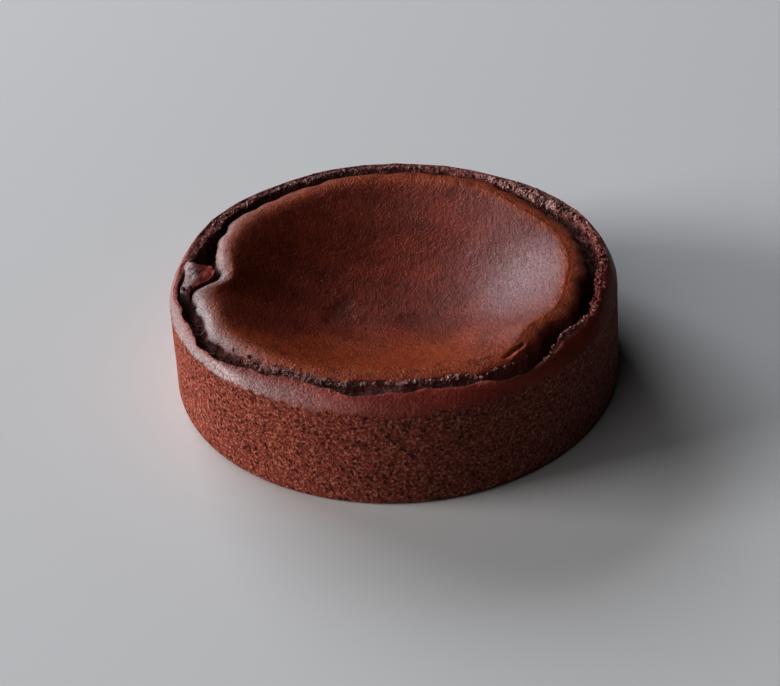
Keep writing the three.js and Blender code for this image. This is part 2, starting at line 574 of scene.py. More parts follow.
@dataclass
class CakeBody(Piece):
    """The baked cake: one closed body from its flat base to its sunken top.

    A pair of shares is the start and end of a smooth change through a zone.
    """

    form: CakeForm
    columns: int = 720
    disc_columns: int = 480
    disc_share: float = 0.984
    edge_rings: int = 3
    wall_rings: int = 44
    rim_rings: int = 14
    crack_rings: int = 40
    lip_rings: int = 12
    base_heights: Pair = (-1 * MM, 1 * MM)
    top_heights: Pair = (1 * MM, 1000 * MM)
    merge_distance: float = 0.001 * MM
    level_distance: float = 0.01 * MM
    wall_tears: tuple[tuple[float, float, float, float, float], ...] = (
        (229.5, 13.7, 231.0, 9.4, 0.9), (235.0, 16.2, 236.5, 13.4, 0.8), (233.4, 22.5, 233.9, 22.2, 1.0),
        (232.8, 32.2, 234.5, 31.6, 0.7), (257.8, 12.1, 258.4, 11.6, 1.0), (261.9, 33.2, 262.6, 33.0, 0.7),
        (278.5, 32.9, 279.4, 32.8, 0.7), (40.0, 20.0, 41.0, 16.5, 0.9), (98.0, 11.0, 99.0, 8.5, 0.9),
        (141.0, 24.0, 141.6, 23.6, 1.0),
    )
    wall_pits: Pits = Pits(0.6 * MM, 3.2 * MM, 1, share=0.36, rarity=0.45)
    wall_waves: tuple[Waves, ...] = (Waves(0.25 * MM, 22 * MM, 2), Waves(0.08 * MM, 2.4 * MM, 3))
    wall_fade: Span = (0.0, 0.06, 0.96, 1.0)
    torn_shakes: tuple[Shake, ...] = (Shake(0.55 * MM, 4.2 * MM, 1), Shake(0.4 * MM, 1.7 * MM, 2))
    torn_lumps: Lumps = Lumps(0.4 * MM, 2.0 * MM, 5)
    crust_waves: tuple[Waves, ...] = (Waves(0.14 * MM, 16 * MM, 7), Waves(0.06 * MM, 3.5 * MM, 8))
    groove_warp: Shake = Shake(0.5 * MM, 2.2 * MM, 6)
    border_waves: Waves = Waves(0.35 * MM, 7 * MM, 9, layers=3)
    wavy_wall: Pair = (0.85, 1.0)
    wavy_rim: Pair = (0.4, 0.0)
    bare_rim: Swells = swells(
        (30, 40, 0.15), (100, 40, 0.25), (155, 20, 0.2), (185, 7, 0.45), (322, 8, 0.35)
    )
    bare_lip: Swells = swells((238, 17, 0.85), (275, 24, 0.35), (310, 16, 0.2))
    bare_border: Pair = (-0.12, 0.12)
    tongue_crust: Pair = (0.3, 0.6)
    tongue_calm: float = 0.6
    tongue_right_face: Pair = (0.0, 0.2)
    # Painted sheen on the tongue's lit flank.
    tongue_sheen: float = 0.8
    ragged_rim: Swells = swells((198, 28, 0.6), (240, 20, 0.3), (318, 24, 0.7))
    least_ragged: float = 0.15
    ragged_crack: Pair = (0.0, 0.15)
    ragged_rim_edge: Pair = (0.6, 1.0)
    ragged_lip_edge: Pair = (0.4, 0.0)
    ledge_edge: Pair = (0.05, 0.0)
    ledge_ragged: float = 0.6
    # Painted light: torn crumb is painted lighter at these angles, where it faces the lamps.
    painted_light_tears: Swells = swells((38, 26, 0.8), (110, 40, 0.8), (240, 50, 0.6))
    least_painted_light: float = 0.2
    # Painted shade: the crack is painted darker sooner with depth at the right.
    painted_shade_depths: Swells = swells((3, 22, 1.0))
    border_crust: float = 0.5
    wall_crust: Pair = (0.9, 1.0)
    thin_rim: Pair = (0.35, 0.0)
    # Partly painted light: the front rim is painted redder and lighter, partly as the crust's own colour
    # and partly in place of light from the front.
    red_rim: Swells = swells((275, 45, 0.85))
    least_red: float = 0.15
    browned_edge: float = 0.85
    browned_lip: Pair = (0.1, 0.8)
    browned_disc: Pair = (0.91, 1.0)
    browned_front: Pair = (-8 * MM, -40 * MM)
    browned_across: Pair = (38 * MM, 5 * MM)
    browned_right: float = 0.4
    # Gloss with painted shade: the right of the sunken top is glossier and painted darker.
    gloss_and_shade_patch: Patch = Patch((44 * MM, 6 * MM), (20.5 * MM, 42 * MM), 1.0)
    # A faint painted sheen at the back of the sunken top.
    hazy_sheen_patch: Patch = Patch((8 * MM, 49 * MM), (30 * MM, 15 * MM), 0.1)
    # Painted sheen: a light grey colour, with a glossy coat, where the lip, rim and top catch the lamps.
    painted_sheen: Swells = swells((198, 26, 0.9), (160, 25, 0.5), (5, 40, 0.12))
    least_painted_sheen: float = 0.05
    lip_sheen_edge: Pair = (1.0, 0.6)
    lip_top_sheen: float = 0.3
    disc_sheen_edge: Pair = (0.95, 1.0)
    disc_sheen: float = 0.3
    rim_sheen: Swells = swells((208, 44, 1.0))
    rim_sheen_edge: Pair = (1.1, 0.3)
    fold_sheen: Swells = swells((310, 17, 0.55))
    fold_sheen_edge: Pair = (0.6, 1.0)
    darkening_edge: Pair = (0.0, 0.7)
    top_grooves: tuple[Groove, ...] = (
        top_groove((33.0, -50.3), (39.4, -43.4), 0.9, 0.9, 1.0),
        top_groove((34.4, -51.4), (40.2, -44.6), 0.8, -0.4),
        top_groove((20.3, -54.7), (29.9, -48.7), 0.6, 0.3, 0.8),
        # The darkened grooves at the middle are painted shade in their shallow dents; the wide one at the
        # front right only darkens the crust.
        top_groove((1.0, -6.0), (13.0, -6.5), 2.0, 0.3, darkening=0.8),
        top_groove((-22.0, -9.0), (-15.8, 4.0), 8.5, 0.3, darkening=0.75),
        top_groove((1.0, -9.0), (14.0, -8.4), 6.5, 0.2, darkening=0.6),
        top_groove((29.5, -16.4), (35.2, -14.7), 1.4, 0.15),
        top_groove((26.0, -42.0), (42.0, -27.0), 16.0, 0.0, darkening=0.4),
        top_groove((-37.6, -20.4), (-37.4, -20.2), 0.9, 0.5, 0.6),
        top_groove((-29.5, 41.9), (-29.3, 41.9), 0.9, 0.4, 0.4),
        top_groove((-20.1, 45.4), (-19.9, 45.4), 0.9, 0.4, 0.4),
        top_groove((-17.1, 29.5), (-16.9, 29.4), 0.9, 0.4, 0.4),
    )
    shift: Array = field(init=False)
    marks: dict[Mark, Array] = field(init=False)

    def ring_plan(self) -> list[tuple[Zone, float]]:
        """Every ring's zone and its share of the way through that zone, from the base up."""
        counts = {Zone.EDGE: self.edge_rings, Zone.WALL: self.wall_rings, Zone.RIM: self.rim_rings}
        plan = [(zone, step / count) for zone, count in counts.items() for step in range(count)]
        plan += [(Zone.CRACK, share) for share in self.form.crack_steps(self.crack_rings)[:-1]]
        plan += [(Zone.LIP, step / self.lip_rings) for step in range(self.lip_rings + 1)]
        return plan

    def ring(self, zone: Zone, share: float, angles: Array) -> Ring:
        """Radius and height of one ring at each angle."""
        makers = {
            Zone.EDGE: self.form.edge_ring,
            Zone.WALL: self.form.wall_ring,
            Zone.RIM: self.form.rim_ring,
            Zone.CRACK: self.form.crack_ring,
            Zone.LIP: self.form.lip_ring,
        }
        return makers[zone](share, angles)

    def first_profile(self) -> Array:
        """Radius and height of every ring at angle 0, one row each."""
        return np.array(
            [np.concatenate(self.ring(zone, share, np.zeros(1))) for zone, share in self.ring_plan()]
        )

    def build(self) -> tuple[bpy.types.Object, Surface]:
        """Models the body.

        Returns:
            The finished object, with its place in its mesh, and its surface.
        """
        body = self.spin_profile()
        self.close_base()
        self.fill_disc()
        bpy.ops.object.mode_set(mode="OBJECT")
        surface = self.shape(body)
        self.roughen(body, surface)
        bpy.ops.object.shade_smooth()
        return body, surface

    def spin_profile(self) -> bpy.types.Object:
        """Draws the profile at angle 0 by extruding one point, and spins it round the cake.

        Returns:
            The turned shape, open at the base and the top.
        """
        points = [Vector((radius, 0.0, height)) for radius, height in self.first_profile()]
        bpy.ops.object.select_all(action="DESELECT")
        bpy.ops.mesh.primitive_plane_add(size=self.form.base_round)
        body = bpy.context.object
        body.name = body.data.name = "cake_body"
        bpy.ops.object.mode_set(mode="EDIT")
        bpy.ops.mesh.merge(type="CENTER")
        bpy.ops.transform.translate(value=points[0])
        for start, end in zip(points, points[1:]):
            bpy.ops.mesh.extrude_region_move(TRANSFORM_OT_translate={"value": end - start})
        bpy.ops.mesh.select_all(action="SELECT")
        bpy.ops.mesh.spin(
            steps=self.columns,
            angle=2.0 * math.pi,
            center=(0, 0, 0),
            axis=(0, 0, 1),
            use_auto_merge=True,
        )
        bpy.ops.mesh.select_all(action="SELECT")
        bpy.ops.mesh.remove_doubles(threshold=self.merge_distance)
        return body

    def select_border(self, lowest: float, highest: float) -> None:
        """Selects the open edges between two heights, and nothing else.

        Args:
            lowest: Lower height.
            highest: Upper height.
        """
        bpy.ops.mesh.select_mode(type="EDGE")
        bpy.ops.mesh.select_all(action="DESELECT")
        mesh = bpy.context.object.data
        editable = bmesh.from_edit_mesh(mesh)
        for edge in editable.edges:
            middle = 0.5 * (edge.verts[0].co.z + edge.verts[1].co.z)
            edge.select_set(edge.is_boundary and lowest <= middle <= highest)
        bmesh.update_edit_mesh(mesh)

    def close_base(self) -> None:
        """Closes the flat base with one face."""
        self.select_border(*self.base_heights)
        bpy.ops.mesh.edge_face_add()

    def fill_disc(self) -> None:
        """Fills the ring of the lip with an even grid for the sunken top."""
        radius, height = (float(size) for size in self.first_profile()[-1])
        quarter = self.disc_columns // 4
        bpy.ops.mesh.select_all(action="DESELECT")
        bpy.ops.mesh.primitive_circle_add(
            vertices=self.disc_columns,
            radius=self.disc_share * radius,
            fill_type="NOTHING",
            location=(0.0, 0.0, height),
        )
        bpy.ops.mesh.fill_grid(span=quarter)
        self.select_border(*self.top_heights)
        bpy.ops.mesh.bridge_edge_loops()
        bpy.ops.mesh.select_all(action="SELECT")
        bpy.ops.mesh.normals_make_consistent(inside=False)

    def shape(self, body: bpy.types.Object) -> Surface:
        """Moves the points of the plain turned shape to the torn and sunken one.

        Args:
            body: The turned shape.

        Returns:
            The shaped surface, still without its fine relief.
        """
        mesh = body.data
        points = read_points(mesh)
        angles = np.degrees(np.arctan2(points[:, 1], points[:, 0])) % 360.0
        radii, heights = np.hypot(points[:, 0], points[:, 1]), points[:, 2]
        plan, profile = self.ring_plan(), self.first_profile()
        lip_radius, lip_height = profile[-1]
        on_disc = radii < 0.5 * (1.0 + self.disc_share) * lip_radius
        on_disc &= np.abs(heights - lip_height) < self.level_distance
        gaps = np.abs(radii[:, None] - profile[None, :, 0])
        gaps += np.abs(heights[:, None] - profile[None, :, 1])
        nearest = np.argmin(gaps, axis=1)
        zones = np.array([zone.value for zone, _ in plan])[nearest]
        shares = np.array([share for _, share in plan])[nearest]
        zones[on_disc] = Zone.DISC.value
        shares[on_disc] = radii[on_disc] / lip_radius
        for index, (zone, share) in enumerate(plan):
            chosen = (nearest == index) & ~on_disc
            radius, height = self.ring(zone, share, angles[chosen])
            turn = np.radians(angles[chosen])
            points[chosen] = np.stack([radius * np.cos(turn), radius * np.sin(turn), height], axis=1)
        points[on_disc] = self.form.disc_points(shares[on_disc], angles[on_disc])
        write_points(mesh, points)
        return Surface(points, read_normals(mesh), zones, shares, angles)

    def roughen(self, body: bpy.types.Object, surface: Surface) -> None:
        """Adds pits, tears and torn crumb, and marks them for the finish.

        Args:
            body: The shaped body.
            surface: Its surface, which is brought up to date.
        """
        count = len(surface.points)
        self.shift = np.zeros((count, 3))
        self.marks = {mark: np.zeros(count) for mark in Mark}
        self.pit_wall(surface)
        self.tear_crack(surface)
        self.wrinkle_crust(surface)
        self.wave_border(surface)
        self.colour_tears(surface)
        self.colour_crust(surface)
        surface.points = surface.points + self.shift
        write_points(body.data, surface.points)
        surface.normals = read_normals(body.data)
        for mark, values in self.marks.items():
            write_values(body.data, mark, values)

    def pit_wall(self, surface: Surface) -> None:
        """Gives the wall its larger pits and tears."""
        wall = surface.on(Zone.WALL)
        side = surface.points[wall]
        around = np.radians(surface.angles[wall]) * self.form.base_radius
        unrolled = np.stack([around, side[:, 2]], axis=1)
        pits = self.wall_pits.at(side)
        for row in self.wall_tears:
            pits = np.maximum(pits, self.wall_tear(*row).at(unrolled))
        lift = sum(waves.at(side) for waves in self.wall_waves) - self.wall_pits.amount * pits
        fade = plateau(self.wall_fade, surface.shares[wall])
        self.shift[wall] = surface.normals[wall] * (lift * fade)[:, None]
        self.marks[Mark.PITTED][wall] = pits * fade

    def wall_tear(self, first: float, low: float, last: float, high: float, width: float) -> Groove:
        """A short tear of the wall, unrolled.

        Args:
            first: Angle of one end.
            low: Height of that end, in millimetres.
            last: Angle of the other end.
            high: Height of the other end, in millimetres.
            width: Distance from its line to its border, in millimetres.

        Returns:
            The tear as a groove.
        """
        radius = self.form.base_radius
        start = (math.radians(first) * radius, low * MM)
        end = (math.radians(last) * radius, high * MM)
        return Groove(start, end, width * MM)

    def tear_crack(self, surface: Surface) -> None:
        """Breaks up the faces and edges of the crack."""
        shares, angles = surface.shares, surface.angles
        self.marks[Mark.TORN] = surface.by_zone(
            {
                Zone.CRACK: 1.0 - smooth_step(*self.tongue_crust, self.form.tongue(shares, angles)),
                Zone.RIM: smooth_step(*self.bare_border, shares - 1.0 + swelling(self.bare_rim, angles)),
                Zone.LIP: smooth_step(*self.bare_border, swelling(self.bare_lip, angles) - shares),
            }
        )
        weight = self.raggedness(surface)
        rough = weight > 0.0
        places = surface.points[rough]
        shift = sum(shake.at(places) for shake in self.torn_shakes)
        shift += surface.normals[rough] * self.torn_lumps.at(places)[:, None]
        self.shift[rough] = shift * weight[rough, None]

    def raggedness(self, surface: Surface) -> Array:
        """How strongly each point is broken up, from 0 to 1."""
        form, shares, angles = self.form, surface.shares, surface.angles
        frayed = share_round(self.least_ragged, self.ragged_rim, angles)
        torn = np.maximum(smooth_step(*self.ragged_crack, shares), frayed)
        torn *= 1.0 - self.tongue_calm * form.tongue(shares, angles)
        on_ledge = smooth_step(*self.ledge_edge, shares - swelling(form.ledge_swells, angles))
        lip_edge = smooth_step(*self.ragged_lip_edge, shares)
        return surface.by_zone(
            {
                Zone.CRACK: torn * mix(1.0, self.ledge_ragged, on_ledge),
                Zone.RIM: smooth_step(*self.ragged_rim_edge, shares) * frayed,
                Zone.LIP: np.maximum(self.marks[Mark.TORN], lip_edge),
            }
        )

    def wrinkle_crust(self, surface: Surface) -> None:
        """Gives the rim, lip and sunken top their gentle unevenness and grooves, and marks some grooves
        darker as painted shade in their dents.
        """
        skin = surface.on(Zone.RIM, Zone.LIP, Zone.DISC)
        top = surface.points[skin]
        lift = sum(waves.at(top) for waves in self.crust_waves)
        torn = self.marks[Mark.TORN][skin]
        darkening = np.zeros(len(top))
        warped = top[:, :2] + self.groove_warp.at(top)[:, :2]
        for groove in self.top_grooves:
            share = groove.at(warped)
            lift -= groove.depth * share
            torn = np.maximum(torn, groove.torn * share)
            darkening = np.maximum(darkening, groove.darkening * smooth_step(*self.darkening_edge, share))
        self.shift[skin] += surface.normals[skin] * lift[:, None]
        self.marks[Mark.TORN][skin] = torn
        self.marks[Mark.PITTED][skin] = darkening

    def wave_border(self, surface: Surface) -> None:
        """Makes the border between the wall and the crust uneven in height."""
        fade = surface.by_zone(
            {
                Zone.WALL: smooth_step(*self.wavy_wall, surface.shares),
                Zone.RIM: smooth_step(*self.wavy_rim, surface.shares),
            }
        )
        border = fade > 0.0
        self.shift[border, 2] += self.border_waves.at(surface.points[border]) * fade[border]

    def colour_tears(self, surface: Surface) -> None:
        """Marks where crust covers the crumb, how much painted light the torn crumb gets, and how deep in
        the crack each point lies, for painted shade there.
        """
        form, shares, angles = self.form, surface.shares, surface.angles
        whole = 1.0 - self.marks[Mark.TORN]
        thin = 1.0 - self.border_crust * smooth_step(*self.thin_rim, shares)
        self.marks[Mark.CRUST] = surface.by_zone(
            {
                Zone.WALL: self.border_crust * smooth_step(*self.wall_crust, shares),
                Zone.RIM: np.minimum(whole, thin),
                Zone.CRACK: whole,
                Zone.LIP: whole,
                Zone.DISC: whole,
            }
        )
        # Painted light on the torn crumb, by angle.
        self.marks[Mark.LIGHT] = share_round(self.least_painted_light, self.painted_light_tears, angles)
        # Painted shade: torn crumb is marked darker the deeper it lies in the crack.
        depth = (form.crest(angles) - surface.points[:, 2]) / form.crack_depth
        depth *= 1.0 + swelling(self.painted_shade_depths, angles)
        self.marks[Mark.DEPTH_SHADE] = surface.by_zone({Zone.CRACK: np.clip(depth, 0.0, 1.0)})

    def colour_crust(self, surface: Surface) -> None:
        """Marks where the crust is red, browned, glossy with painted shade, or glossy with a painted grey
        sheen.
        """
        shares, angles, points = surface.shares, surface.angles, surface.points
        whole = 1.0 - self.marks[Mark.TORN]
        right_face = smooth_step(*self.tongue_right_face, shares - self.form.ridge(angles))
        # Red on the tongue's right face, and on the front rim, where it is partly painted light.
        self.marks[Mark.RED] = surface.by_zone(
            {
                Zone.CRACK: whole * right_face,
                Zone.RIM: share_round(self.least_red, self.red_rim, angles),
            }
        )
        front = smooth_step(*self.browned_front, points[:, 1])
        front *= mix(self.browned_right, 1.0, smooth_step(*self.browned_across, points[:, 0]))
        disc_edge = self.browned_edge * smooth_step(*self.browned_disc, shares)
        self.marks[Mark.BROWNED] = surface.by_zone(
            {
                Zone.LIP: self.browned_edge * smooth_step(*self.browned_lip, shares),
                Zone.DISC: np.maximum(front, disc_edge),
            }
        )
        # Gloss and painted shade on the right of the sunken top.
        self.marks[Mark.GLOSS_AND_PAINTED_SHADE] = surface.by_zone({Zone.DISC: self.gloss_and_shade_patch.at(points)})
        # Painted sheen where the lip, rim, tongue and top catch the lamps.
        painted_sheen = share_round(self.least_painted_sheen, self.painted_sheen, angles)
        foot = swelling(self.rim_sheen, angles) * smooth_step(*self.rim_sheen_edge, shares)
        fold = swelling(self.fold_sheen, angles) * smooth_step(*self.fold_sheen_edge, shares)
        sheen_haze = self.disc_sheen * painted_sheen * smooth_step(*self.disc_sheen_edge, shares)
        lip = mix(self.lip_top_sheen, 1.0, smooth_step(*self.lip_sheen_edge, shares))
        self.marks[Mark.GLOSS_AND_PAINTED_SHEEN] = surface.by_zone(
            {
                Zone.CRACK: self.tongue_sheen * whole * (1.0 - right_face),
                Zone.RIM: np.maximum(foot, fold),
                Zone.LIP: painted_sheen * lip,
                Zone.DISC: np.maximum(sheen_haze, self.hazy_sheen_patch.at(points)),
            }
        )


@dataclass(frozen=True)
class CrumbGroup:
    """Crumbs that lie together on one stretch of the crack.

    Args:
        angle: Where the middle of the stretch is.
        spread: How far it reaches to each side.
        count: How many crumbs it has.
        zone: The part of the surface that carries them.
        low: Lowest share of the way through that zone.
        high: Highest share.
        smallest: Smallest mean radius.
        largest: Largest mean radius.
        light: Painted light: how light the lightest crumb is painted. Above 1 its dark grains fade too.
    """

    angle: float
    spread: float
    count: int
    zone: Zone
    low: float
    high: float
    smallest: float
    largest: float
    light: float

    def weights(self, surface: Surface) -> Array:
        """How likely each point of the surface is to carry a crumb, summing to 1."""
        inside = (surface.shares >= self.low) & (surface.shares <= self.high) & surface.on(self.zone)
        weights = Swell(self.angle, self.spread, 1.0).at(surface.angles) * inside
        return weights / weights.sum()


@dataclass
class Crumbs(Piece):
    """Crumbs torn loose along the crack, all joined in one mesh."""

    surface: Surface
    seed: int = 11
    kinds: int = 8
    kind_gap: float = 10.0
    knobs: Waves = Waves(0.75, 0.9, 20)
    roundness: int = 2
    sink: float = 0.1
    size_power: int = 2
    stretch: Pair = (0.5, 1.5)
    lightness: Pair = (0.3, 1.0)
    crease: float = 24.0
    # The last number of each group is painted light: crumbs that face the lamps are painted lighter,
    # shaded ones darker.
    groups: tuple[CrumbGroup, ...] = (
        CrumbGroup(37, 16, 480, Zone.CRACK, 0.3, 0.85, 0.3 * MM, 1.2 * MM, 2.6),
        CrumbGroup(6, 14, 180, Zone.CRACK, 0.1, 0.5, 0.3 * MM, 0.9 * MM, 0.8),
        CrumbGroup(345, 12, 120, Zone.CRACK, 0.03, 0.35, 0.3 * MM, 0.8 * MM, 0.3),
        CrumbGroup(321, 9, 90, Zone.CRACK, 0.0, 0.15, 0.25 * MM, 0.7 * MM, 1.2),
        CrumbGroup(95, 28, 300, Zone.CRACK, 0.38, 0.8, 0.25 * MM, 0.5 * MM, 3.0),
        CrumbGroup(136, 16, 220, Zone.CRACK, 0.3, 0.8, 0.25 * MM, 0.6 * MM, 2.6),
        CrumbGroup(236, 16, 130, Zone.CRACK, 0.3, 1.0, 0.3 * MM, 0.7 * MM, 1.2),
        CrumbGroup(242, 11, 280, Zone.LIP, 0.0, 0.5, 0.2 * MM, 0.6 * MM, 3.0),
        CrumbGroup(276, 18, 110, Zone.LIP, 0.0, 0.25, 0.3 * MM, 0.9 * MM, 2.6),
        CrumbGroup(278, 16, 60, Zone.CRACK, 0.8, 1.0, 0.3 * MM, 0.8 * MM, 2.0),
        CrumbGroup(208, 11, 240, Zone.CRACK, 0.1, 0.8, 0.3 * MM, 0.9 * MM, 0.8),
    )

    def build(self) -> bpy.types.Object:
        """Scatters the crumbs.

        Returns:
            One object with every crumb in its mesh.
        """
        draw = np.random.default_rng(self.seed)
        grains = [self.grain(kind) for kind in range(self.kinds)]
        spots, normals = self.surface.points, self.surface.normals
        points, faces, light = [], [], []
        total = 0
        for group in self.groups:
            for index in draw.choice(len(spots), group.count, p=group.weights(self.surface)):
                shape, sides = grains[draw.integers(self.kinds)]
                size = mix(group.smallest, group.largest, draw.random() ** self.size_power)
                turn = np.array(Euler(draw.uniform(0.0, 2.0 * math.pi, 3)).to_matrix())
                stretch = draw.uniform(*self.stretch, 3)
                place = spots[index] + normals[index] * size * self.sink
                points.append((shape * stretch * size) @ turn.T + place)
                faces.append(sides + total)
                light.append(np.full(len(shape), draw.uniform(*self.lightness) * group.light))
                total += len(shape)
        mesh = bpy.data.meshes.new("crumbs")
        mesh.from_pydata(np.concatenate(points).tolist(), [], np.concatenate(faces).tolist())
        crumbs = bpy.data.objects.new("crumbs", mesh)
        bpy.context.scene.collection.objects.link(crumbs)
        bpy.ops.object.select_all(action="DESELECT")
        crumbs.select_set(True)
        bpy.context.view_layer.objects.active = crumbs
        bpy.ops.object.shade_smooth_by_angle(angle=math.radians(self.crease))
        write_values(mesh, Mark.TORN, np.ones(total))
        write_values(mesh, Mark.LIGHT, np.concatenate(light))
        return crumbs

    def grain(self, kind: int) -> tuple[Array, Array]:
        """Models one knobbly crumb of radius about 1.

        Args:
            kind: Number of the crumb's shape.

        Returns:
            Its points, and the corners of its faces.
        """
        bpy.ops.mesh.primitive_ico_sphere_add(subdivisions=self.roundness, radius=1.0)
        ball = bpy.context.object
        shape = read_points(ball.data)
        sides = np.array([list(face.vertices) for face in ball.data.polygons])
        bpy.ops.object.delete()
        knobs = replace(self.knobs, seed=self.knobs.seed + kind)
        return shape * (1.0 + knobs.at(shape + self.kind_gap * kind))[:, None], sides


def read_rows(items: bpy.types.bpy_prop_collection, name: str) -> Array:
    """One vector of each item of a mesh, one row of x, y and z each."""
    flat = np.empty(len(items) * 3)
    items.foreach_get(name, flat)
    return flat.reshape(-1, 3)


def read_points(mesh: bpy.types.Mesh) -> Array:
    """All points of a mesh, one row each."""
    return read_rows(mesh.vertices, "co")


def read_normals(mesh: bpy.types.Mesh) -> Array:
    """Normals at the points of a mesh, one row each."""
    return read_rows(mesh.vertex_normals, "vector")


def write_points(mesh: bpy.types.Mesh, points: Array) -> None:
    """Moves all points of a mesh."""
    mesh.vertices.foreach_set("co", points.ravel())
    mesh.update()


def write_values(mesh: bpy.types.Mesh, mark: Mark, values: Array) -> None:
    """Stores one number at each point, for the finish to read."""
    layer = mesh.attributes.new(mark.value, "FLOAT", "POINT")
    layer.data.foreach_set("value", values.astype(np.float32))


Value = Union[float, Sequence[float], "Sock"]


class Sock:
    """An output socket that can be used in Python expressions."""

    def __init__(self, sheet: "Sheet", socket: bpy.types.NodeSocket) -> None:
        """Wraps one output socket of a sheet."""
        self.sheet = sheet
        self.socket = socket

    def __add__(self, other: Value) -> "Sock":
        """Sum."""
        return self.sheet.math("ADD", self, other)

    def __sub__(self, other: Value) -> "Sock":
        """Difference."""
        return self.sheet.math("SUBTRACT", self, other)

    def __mul__(self, other: Value) -> "Sock":
        """Product."""
        return self.sheet.math("MULTIPLY", self, other)

    def or_more(self, other: Value) -> "Sock":
        """The larger of this and another."""
        return self.sheet.math("MAXIMUM", self, other)

    def above(self, least: float) -> "Sock":
        """A share from 0 to 1, pressed into the range from a least value to 1."""
        return self * (1.0 - least) + least

    def sway(self, amount: float, middle: float = 0.5) -> "Sock":
        """A value about its middle, made to swing about 0 by an amount."""
        return (self - middle) * amount

    def rise(self, low: float, high: float) -> "Sock":
        """Smooth rise from 0 at low to 1 at high, where low may also be the larger."""
        return self.sheet.node(
            "ShaderNodeMapRange",
            {"interpolation_type": "SMOOTHSTEP"},
            {"Value": self, "From Min": low, "From Max": high},
        )


@dataclass(frozen=True)
class Grain:
    """A noise pattern of a finish.

    Args:
        size: Length of its largest waves.
        detail: How many finer layers it has.
        roughness: How strong the finer layers are.
    """

    size: float
    detail: float
    roughness: float = 0.5


class Sheet:
    """The node sheet of one material."""

    def __init__(self, name: str) -> None:
        """Starts an empty sheet for a new material."""
        self.material = bpy.data.materials.new(name)
        self.material.use_nodes = True
        self.tree = self.material.node_tree
        self.tree.nodes.clear()

    def node(
        self,
        kind: str,
        settings: Optional[dict] = None,
        sockets: Optional[dict] = None,
        output: Union[int, str] = 0,
    ) -> Sock:
        """Adds a node.

        Args:
            kind: The node's type.
            settings: Its own settings, set first.
            sockets: Values or links of its inputs, by name or number.
            output: Which of its outputs to give back.

        Returns:
            The chosen output.
        """
        made = self.tree.nodes.new(kind)
        for key, value in (settings or {}).items():
            setattr(made, key, value)
        for key, value in (sockets or {}).items():
            if isinstance(value, Sock):
                self.tree.links.new(value.socket, made.inputs[key])
            else:
                made.inputs[key].default_value = value
        return Sock(self, made.outputs[output])

    def principled(self, sockets: dict) -> Sock:
        """A Principled shader with some of its inputs set or linked."""
        return self.node("ShaderNodeBsdfPrincipled", None, sockets)

    def finish(self, shader: Sock) -> bpy.types.Material:
        """Sends a shader to the material's surface, and gives the material back."""
        end = self.tree.nodes.new("ShaderNodeOutputMaterial")
        self.tree.links.new(shader.socket, end.inputs["Surface"])
        return self.material

    def math(self, operation: str, first: Value, second: Value) -> Sock:
        """A Math node on two values, or a Vector Math node where one of them is a vector."""
        vector = any(self.is_vector(value) for value in (first, second))
        kind = "ShaderNodeVectorMath" if vector else "ShaderNodeMath"
        return self.node(kind, {"operation": operation}, {0: first, 1: second})

    @staticmethod
    def is_vector(value: Value) -> bool:
        """Whether an operand is a vector."""
        return isinstance(value, tuple) or isinstance(value, Sock) and value.socket.type == "VECTOR"

    def blend(self, share: Value, first: Value, second: Value) -> Sock:
        """A colour a share of the way from the first to the second."""
        sockets = {0: share, 6: first, 7: second}
        return self.node("ShaderNodeMix", {"data_type": "RGBA"}, sockets, output=2)

    def value_at(self, mark: Mark) -> Sock:
        """A number stored at the points of the mesh."""
        return self.node("ShaderNodeAttribute", {"attribute_name": mark.value}, output="Fac")

    def place(self) -> Sock:
        """Place on the object."""
        return self.node("ShaderNodeTexCoord", output="Object")

    def noise(self, place: Sock, grain: Grain) -> Sock:
        """Noise from 0 to 1 of some grain."""
        return self.node(
            "ShaderNodeTexNoise",
            {"noise_dimensions": "3D"},
            {
                "Vector": place,
                "Scale": 1.0 / grain.size,
                "Detail": grain.detail,
                "Roughness": grain.roughness,
            },
        )

    def cells(self, place: Sock, spacing: float) -> tuple[Sock, Sock]:
        """Scattered cells: the distance to the nearest centre, and a random number of that centre."""
        distance = self.node("ShaderNodeTexVoronoi", None, {"Vector": place, "Scale": 1.0 / spacing})
        colour = Sock(self, distance.socket.node.outputs["Color"])
        luck = self.node("ShaderNodeSeparateColor", None, {"Color": colour})
        return distance, luck

    def bump(self, height: Sock, distance: float) -> Sock:
        """A normal that follows a height from 0 to 1."""
        sockets = {"Height": height, "Distance": distance, "Strength": 1.0}
        return self.node("ShaderNodeBump", None, sockets)


